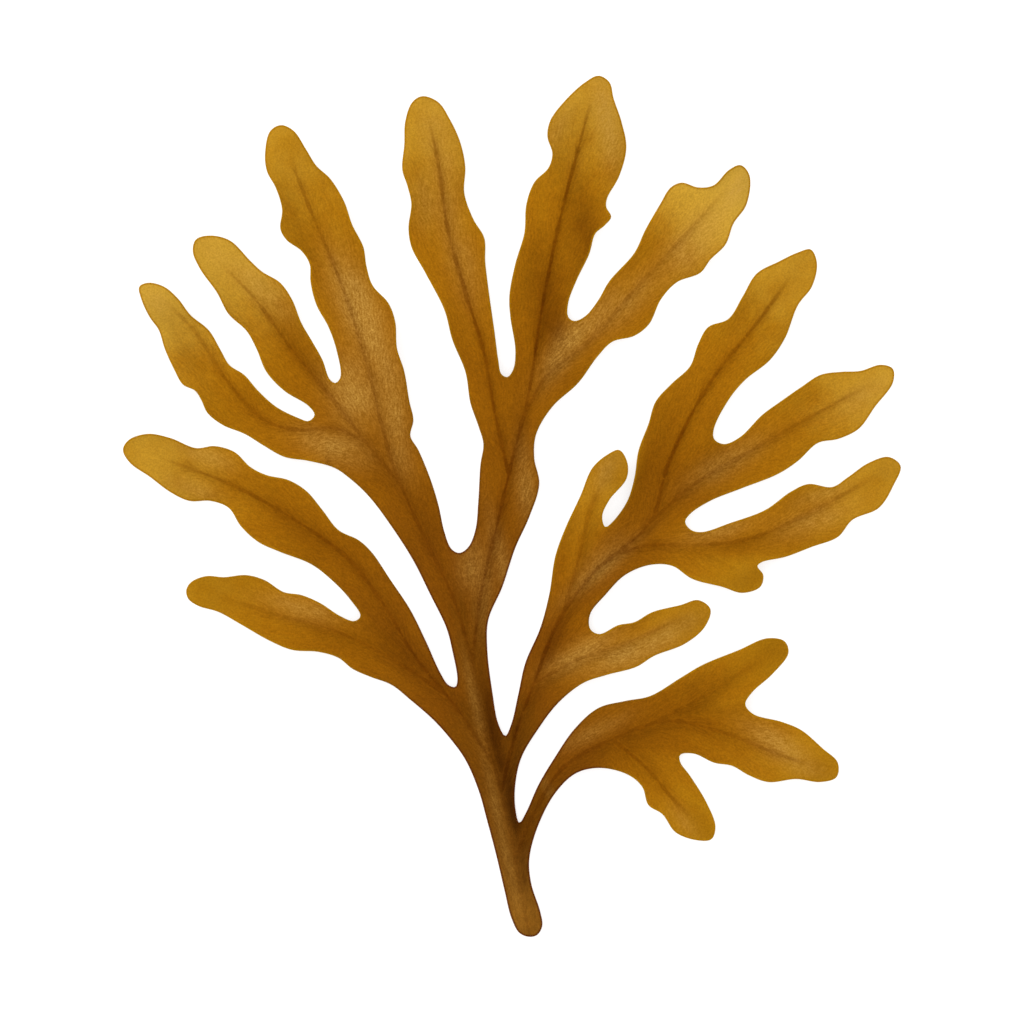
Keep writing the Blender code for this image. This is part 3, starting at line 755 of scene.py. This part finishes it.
# Tones of the tissue as seen, 0 to 255, along a branch from the foot to a tip. lightLevel is how bright
# the lights make a white surface, and the tones are divided by it. sheen is what the surface reflects
# on top. The shades multiply the tone below them. Each noise is a scale, detail and roughness, and a
# fade is the two values between which it runs, then what it gives at each of them
tissueFinish = {
    "lightLevel": 1.52,
    "sheen": 0.0015,
    "darkest": 0.003,
    "along": (
        (0.00, (144, 93, 28)),
        (0.12, (124, 77, 22)),
        (0.22, (117, 69, 15)),
        (0.32, (124, 73, 14)),
        (0.42, (130, 75, 13)),
        (0.55, (141, 84, 14)),
        (0.70, (156, 96, 14)),
        (0.85, (170, 110, 17)),
        (1.00, (182, 125, 20)),
    ),
    # The tips' gold, partly their own tone and partly painted glow of light through the thin tissue
    "tip": (215, 168, 58),
    # The satin patches' painted highlight tone
    "satin": (197, 151, 70),
    # The dusky patches' painted shade
    "duskShade": (0.50, 0.42, 0.45, 1.0),
    "veinShade": (0.55, 0.43, 0.30, 1.0),
    # Painted shade of the wrinkles beside a rib
    "wrinkleShade": (0.82, 0.77, 0.72, 1.0),
    "edgeLine": (92, 44, 3),
    "edgeGold": (174, 120, 6),
    "rimLine": (132, 72, 6),
    "rimGold": (200, 150, 14),
    "veinCore": 0.00045,  # half widths
    "veinHalo": 0.0021,
    "wrinkleReach": 0.0050,
    "edgeWidth": 0.00032,
    "fan": 0.16,  # how far the streaks spread from a rib for each step along it
    "mottleNoise": (140.0, 4.0, 0.55),
    "grainNoise": (2400.0, 2.0, 0.6),
    "bendNoise": (110.0, 4.0, 0.6),
    "bend": 0.0030,  # how far streaks wander sideways
    "hairNoise": (2300.0, 3.0, 0.6),
    "hairStretch": 0.24,  # the smaller, the longer they are
    "streakNoise": (1000.0, 3.0, 0.55),
    "streakStretch": 0.09,
    "broadNoise": (380.0, 2.0, 0.5),
    "broadStretch": 0.12,
    "calmest": 0.25,  # what is left of the streaks at a tip
    "mottleShift": 0.14,  # how far each moves the tone along the branch
    "streakShift": 0.09,
    "broadShift": 0.16,
    "tipFade": (0.35, 1.25),
    "duskFade": (0.25, 0.75, 0.65, 1.0),
    "paintedHighlightHairs": (0.28, 0.72, 0.42, 1.0),
    "paintedHighlightGrain": (0.3, 0.65, 0.55, 1.0),
    "paintedHighlightShare": 0.88,
    "veinNoise": (300.0, 2.0, 0.5),
    "veinWander": 0.0009,
    "haloShare": 0.34,
    "coreFade": (0.3, 1.6),  # in veinCore
    "veinBreaks": (0.35, 0.62, 0.55, 1.0),
    "wrinkleFade": (0.54, 0.66),
    "goldFade": (0.4, 0.85),
    "edgeFade": (0.7, 2.0, 0.85, 0.0),  # the first two in edgeWidth, also below
    "rimFade": (0.2, 0.6, 0.9, 0.0),
    "grain": 0.14,
    "hair": 0.14,
    "fineFade": (0.25, 0.75),
    "roughness": 0.55,
    "roughFade": (0.2, 0.8, -0.06, 0.06),
    "specular": 0.0,
    "bump": {"hair": 0.7, "grain": 0.5, "strength": 0.3, "distance": 0.0001},
}


def tone(rgb):
    # An 8-bit display tone as linear colour under this scene's light: the sRGB curve undone, less the
    # sheen, and divided by the light's level
    display = np.array(rgb) / 255
    linear = np.where(display <= 0.04045, display / 12.92, ((display + 0.055) / 1.055) ** 2.4)
    own = np.maximum(linear - tissueFinish["sheen"], tissueFinish["darkest"]) / tissueFinish["lightLevel"]
    return (*own.tolist(), 1.0)


class Nodes:
    # Short calls for a material's nodes: each returns the node's output, and takes outputs or numbers
    def __init__(self, material):
        self.tree = material.node_tree

    def add(self, kind, inputs=(), output=0, **settings):
        # A node of this kind, with its settings, and its inputs linked or set
        made = self.tree.nodes.new(kind)
        for key, value in settings.items():
            setattr(made, key, value)
        for key, value in dict(inputs).items():
            if isinstance(value, bpy.types.NodeSocket):
                self.tree.links.new(value, made.inputs[key])
            else:
                made.inputs[key].default_value = value
        return made.outputs[output]

    def math(self, operation, a, b=0.0, clamp=False):
        # One sum of a and b
        return self.add("ShaderNodeMath", {0: a, 1: b}, operation=operation, use_clamp=clamp)

    def times(self, a, b, clamp=False):
        # a times b
        return self.math("MULTIPLY", a, b, clamp)

    def scaled(self, noise, width):
        # A noise from 0 to 1 as one around 0 that is this wide: noise less a half, times width
        return self.times(self.math("SUBTRACT", noise, 0.5), width)

    def mixValues(self, share, a, b):
        # The straight line from a to b
        return self.add("ShaderNodeMix", {0: share, 2: a, 3: b}, data_type="FLOAT")

    def attribute(self, name):
        # One of the piece's own values, worked out for each point
        return self.add("ShaderNodeAttribute", output="Fac", attribute_name=name)

    def noise(self, vector, scale, detail, roughness):
        # Blender's own noise, from 0 to 1
        inputs = {"Vector": vector, "Scale": scale, "Detail": detail, "Roughness": roughness}
        return self.add("ShaderNodeTexNoise", inputs, output="Fac")

    def fade(self, value, low, high, atLow=0.0, atHigh=1.0):
        # From atLow to atHigh as a smooth step while the value goes from low to high
        inputs = {"Value": value, "From Min": low, "From Max": high, "To Min": atLow, "To Max": atHigh}
        return self.add("ShaderNodeMapRange", inputs, interpolation_type="SMOOTHSTEP")

    def mix(self, share, a, b, blend="MIX"):
        # Colour a with this share of b over it, or multiplied into it
        kind = {"data_type": "RGBA", "blend_type": blend}
        return self.add("ShaderNodeMix", {0: share, 6: a, 7: b}, output=2, **kind)

    def ramp(self, value, stops):
        # Straight lines between the tones of the stops
        made = self.tree.nodes.new("ShaderNodeValToRGB")
        self.tree.links.new(value, made.inputs[0])
        elements = made.color_ramp.elements
        while len(elements) < len(stops):
            elements.new(1.0)
        for element, (place, rgb) in zip(elements, stops):
            element.position = place
            element.color = tone(rgb)
        return made.outputs[0]


def tissueMaterial():
    # Tone runs from the dark stipe to golden tips, the tips' gold partly painted glow of light through
    # the thin tissue. Over it lie soft streaks that leave the ribs at a slant, satin patches of painted
    # highlight in pale hairlines, dusky patches of painted shade, a dark vein with a soft halo on each
    # midrib, painted shade of wrinkles beside it, a thin line at the margin, and a fine grain
    finish = tissueFinish
    material = bpy.data.materials.new("frondTissue")
    material.use_nodes = True
    nodes = Nodes(material)
    shader = material.node_tree.nodes["Principled BSDF"]

    place = nodes.add("ShaderNodeTexCoord", output="Object")
    ribGap, edgeGap = nodes.attribute("ribGap"), nodes.attribute("edgeGap")
    reach, ripe = nodes.attribute("reach"), nodes.attribute("ripe")
    # The patches of painted highlight and painted shade, as worked out for each point
    satin, dusk = nodes.attribute("satin"), nodes.attribute("dusk")
    glow, standing, vein = nodes.attribute("glow"), nodes.attribute("standing"), nodes.attribute("vein")

    # Streaks leave the rib at a slant: the distance across is the rib's distance, bent by noise, less a
    # share of the reach
    mottle = nodes.noise(place, *finish["mottleNoise"])
    grain = nodes.noise(place, *finish["grainNoise"])
    bent = nodes.scaled(nodes.noise(place, *finish["bendNoise"]), finish["bend"])
    slant = nodes.times(reach, -finish["fan"])
    across = nodes.math("ADD", nodes.math("ADD", ribGap, bent), slant)

    def drawnOut(kind):
        # Noise on the plane of the reach, squeezed so that it runs long, and the distance across
        plane = {0: nodes.times(reach, finish[kind + "Stretch"]), 1: across}
        return nodes.noise(nodes.add("ShaderNodeCombineXYZ", plane), *finish[kind + "Noise"])

    hair, streak, broadStreak = drawnOut("hair"), drawnOut("streak"), drawnOut("broad")

    # The tone along the branch, moved by mottle and streaks, and golden at the tips, partly the tips' own
    # tone and partly painted glow of light through the thin tissue
    calm = nodes.fade(standing, 0.0, 1.0, finish["calmest"], 1.0)
    calmStreak = nodes.times(nodes.scaled(streak, finish["streakShift"]), calm)
    shift = nodes.math("ADD", nodes.scaled(mottle, finish["mottleShift"]), calmStreak)
    shift = nodes.math("ADD", shift, nodes.scaled(broadStreak, finish["broadShift"]))
    colour = nodes.ramp(nodes.math("ADD", ripe, shift, clamp=True), finish["along"])
    tipShare = nodes.fade(nodes.math("ADD", mottle, glow), *finish["tipFade"])
    colour = nodes.mix(nodes.times(glow, tipShare, clamp=True), colour, tone(finish["tip"]))

    # Dusky patches of painted shade, and satin patches of painted highlight
    paintedShadeAmount = nodes.times(dusk, nodes.fade(broadStreak, *finish["duskFade"]), clamp=True)
    colour = nodes.mix(paintedShadeAmount, colour, finish["duskShade"], "MULTIPLY")
    hairline = nodes.fade(hair, *finish["paintedHighlightHairs"])
    paintedHighlightAmount = nodes.times(hairline, nodes.fade(grain, *finish["paintedHighlightGrain"]))
    paintedHighlightAmount = nodes.times(satin, paintedHighlightAmount, clamp=True)
    colour = nodes.mix(nodes.times(paintedHighlightAmount, finish["paintedHighlightShare"]), colour, tone(finish["satin"]))

    # The vein, and painted shade of the wrinkles beside it
    wander = nodes.scaled(nodes.noise(place, *finish["veinNoise"]), finish["veinWander"])
    veinGap = nodes.math("ADD", ribGap, wander)
    halo = nodes.times(nodes.fade(veinGap, 0.0, finish["veinHalo"], finish["haloShare"], 0.0), vein)
    coreStart, coreEnd = (share * finish["veinCore"] for share in finish["coreFade"])
    core = nodes.fade(veinGap, coreStart, coreEnd, 1.0, 0.0)
    core = nodes.times(nodes.times(core, nodes.fade(mottle, *finish["veinBreaks"])), vein)
    colour = nodes.mix(halo, colour, finish["veinShade"], "MULTIPLY")
    colour = nodes.mix(core, colour, finish["veinShade"], "MULTIPLY")
    nearRib = nodes.fade(ribGap, 0.0, finish["wrinkleReach"], 1.0, 0.0)
    wrinkle = nodes.times(nodes.times(nodes.fade(streak, *finish["wrinkleFade"]), nearRib), vein)
    colour = nodes.mix(wrinkle, colour, finish["wrinkleShade"], "MULTIPLY")

    # The margin: a line, and the very rim outside it, both brown low down and golden at the tips
    golden = nodes.fade(ripe, *finish["goldFade"])
    for part, low, high in (("edge", "edgeLine", "edgeGold"), ("rim", "rimLine", "rimGold")):
        start, end, atStart, atEnd = finish[part + "Fade"]
        width = finish["edgeWidth"]
        share = nodes.fade(edgeGap, start * width, end * width, atStart, atEnd)
        colour = nodes.mix(share, colour, nodes.mix(golden, tone(finish[low]), tone(finish[high])))

    # Fine grain and hairlines multiply all of it
    speckle = nodes.fade(grain, *finish["fineFade"], 1 - finish["grain"], 1 + finish["grain"])
    hairs = nodes.fade(hair, *finish["fineFade"], 1 - finish["hair"], 1 + finish["hair"])
    fine = nodes.times(speckle, nodes.mixValues(calm, 1.0, hairs))
    grey = nodes.add("ShaderNodeCombineColor", {0: fine, 1: fine, 2: fine})
    colour = nodes.mix(1.0, colour, grey, "MULTIPLY")
    nodes.tree.links.new(colour, shader.inputs["Base Color"])

    rough = nodes.math("ADD", nodes.fade(streak, *finish["roughFade"]), finish["roughness"])
    nodes.tree.links.new(rough, shader.inputs["Roughness"])
    shader.inputs["Specular IOR Level"].default_value = finish["specular"]
    bump = finish["bump"]
    relief = nodes.math("ADD", nodes.times(hair, bump["hair"]), nodes.times(grain, bump["grain"]))
    inputs = {"Strength": bump["strength"], "Distance": bump["distance"], "Height": relief}
    nodes.tree.links.new(nodes.add("ShaderNodeBump", inputs), shader.inputs["Normal"])
    return material


# The table glows a little, as a lit backdrop does, so it stays as white as the photo's
table = {
    "halfSize": 12.0,
    "drop": 0.00002,
    "albedo": 0.36,
    "glow": 0.72,
    "roughness": 0.9,
    "specular": 0.1,
}
lights = {
    "worldStrength": 1.15,
    "softbox": {"size": 1.1, "power": 10.0, "place": (-0.85, 0.65, 1.05)},
    "fill": {"size": 1.4, "power": 3.0, "place": (0.9, -0.5, 1.2)},
}
view = {
    "lens": 300.0,
    "sensor": 36.0,
    "frameWidth": 1024,  # steps of the sheet across the picture
    "lookAt": (512, 512),
    "trueAt": 0.0025,  # the height at which a step of the sheet is one step of the picture
    "clip": (0.01, 50.0),
}


def makeTable():
    # One big level square, a hair under the frond
    half = table["halfSize"]
    mesh = bpy.data.meshes.new("table")
    corners = [(-half, -half), (half, -half), (half, half), (-half, half)]
    mesh.from_pydata([(x, y, -table["drop"]) for x, y in corners], [], [(0, 1, 2, 3)])
    surface = bpy.data.objects.new("table", mesh)
    bpy.context.scene.collection.objects.link(surface)
    material = bpy.data.materials.new("whiteTable")
    material.use_nodes = True
    shader = material.node_tree.nodes["Principled BSDF"]
    shader.inputs["Base Color"].default_value = (table["albedo"],) * 3 + (1.0,)
    shader.inputs["Roughness"].default_value = table["roughness"]
    shader.inputs["Specular IOR Level"].default_value = table["specular"]
    shader.inputs["Emission Color"].default_value = (1.0, 1.0, 1.0, 1.0)
    shader.inputs["Emission Strength"].default_value = table["glow"]
    mesh.materials.append(material)


def aimAt(thing, target):
    # Turns it so that its -Z runs along the line to the target
    direction = np.array(target, float) - np.array(thing.location)
    thing.rotation_mode = "QUATERNION"
    thing.rotation_quaternion = Vector(direction).to_track_quat("-Z", "Y")


def makeLights():
    # A white sky all round, a soft box at the upper left and a weaker fill at the lower right
    world = bpy.data.worlds.new("studio")
    bpy.context.scene.world = world
    world.use_nodes = True
    background = world.node_tree.nodes["Background"]
    background.inputs["Color"].default_value = (1.0, 1.0, 1.0, 1.0)
    background.inputs["Strength"].default_value = lights["worldStrength"]
    for name in ("softbox", "fill"):
        values = lights[name]
        lamp = bpy.data.lights.new(name, "AREA")
        lamp.shape = "SQUARE"
        lamp.size = values["size"]
        lamp.energy = values["power"]
        thing = bpy.data.objects.new(name, lamp)
        thing.location = values["place"]
        bpy.context.scene.collection.objects.link(thing)
        aimAt(thing, (0, 0, 0))
        thing.visible_camera = False


def makeCamera():
    # Straight down through a long lens, at the height where the sheet's width fills the picture: width
    # times lens over sensor
    camera = bpy.data.cameras.new("camera")
    camera.lens = view["lens"]
    camera.sensor_width = view["sensor"]
    camera.clip_start, camera.clip_end = view["clip"]
    thing = bpy.data.objects.new("camera", camera)
    x, y = onPlan([view["lookAt"]])[0]
    height = view["frameWidth"] * sheetStep * view["lens"] / view["sensor"]
    thing.location = (x, y, height + view["trueAt"])
    bpy.context.scene.collection.objects.link(thing)
    bpy.context.scene.camera = thing


makeCamera()
makeTable()
makeLights()
bpy.context.scene.view_settings.view_transform = "Standard"
print("camera, table and lights made")

thallus = makeThallus("thallusSurface")
thallus.data.materials.append(tissueMaterial())
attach(thallus, "root")
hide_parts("thallus")
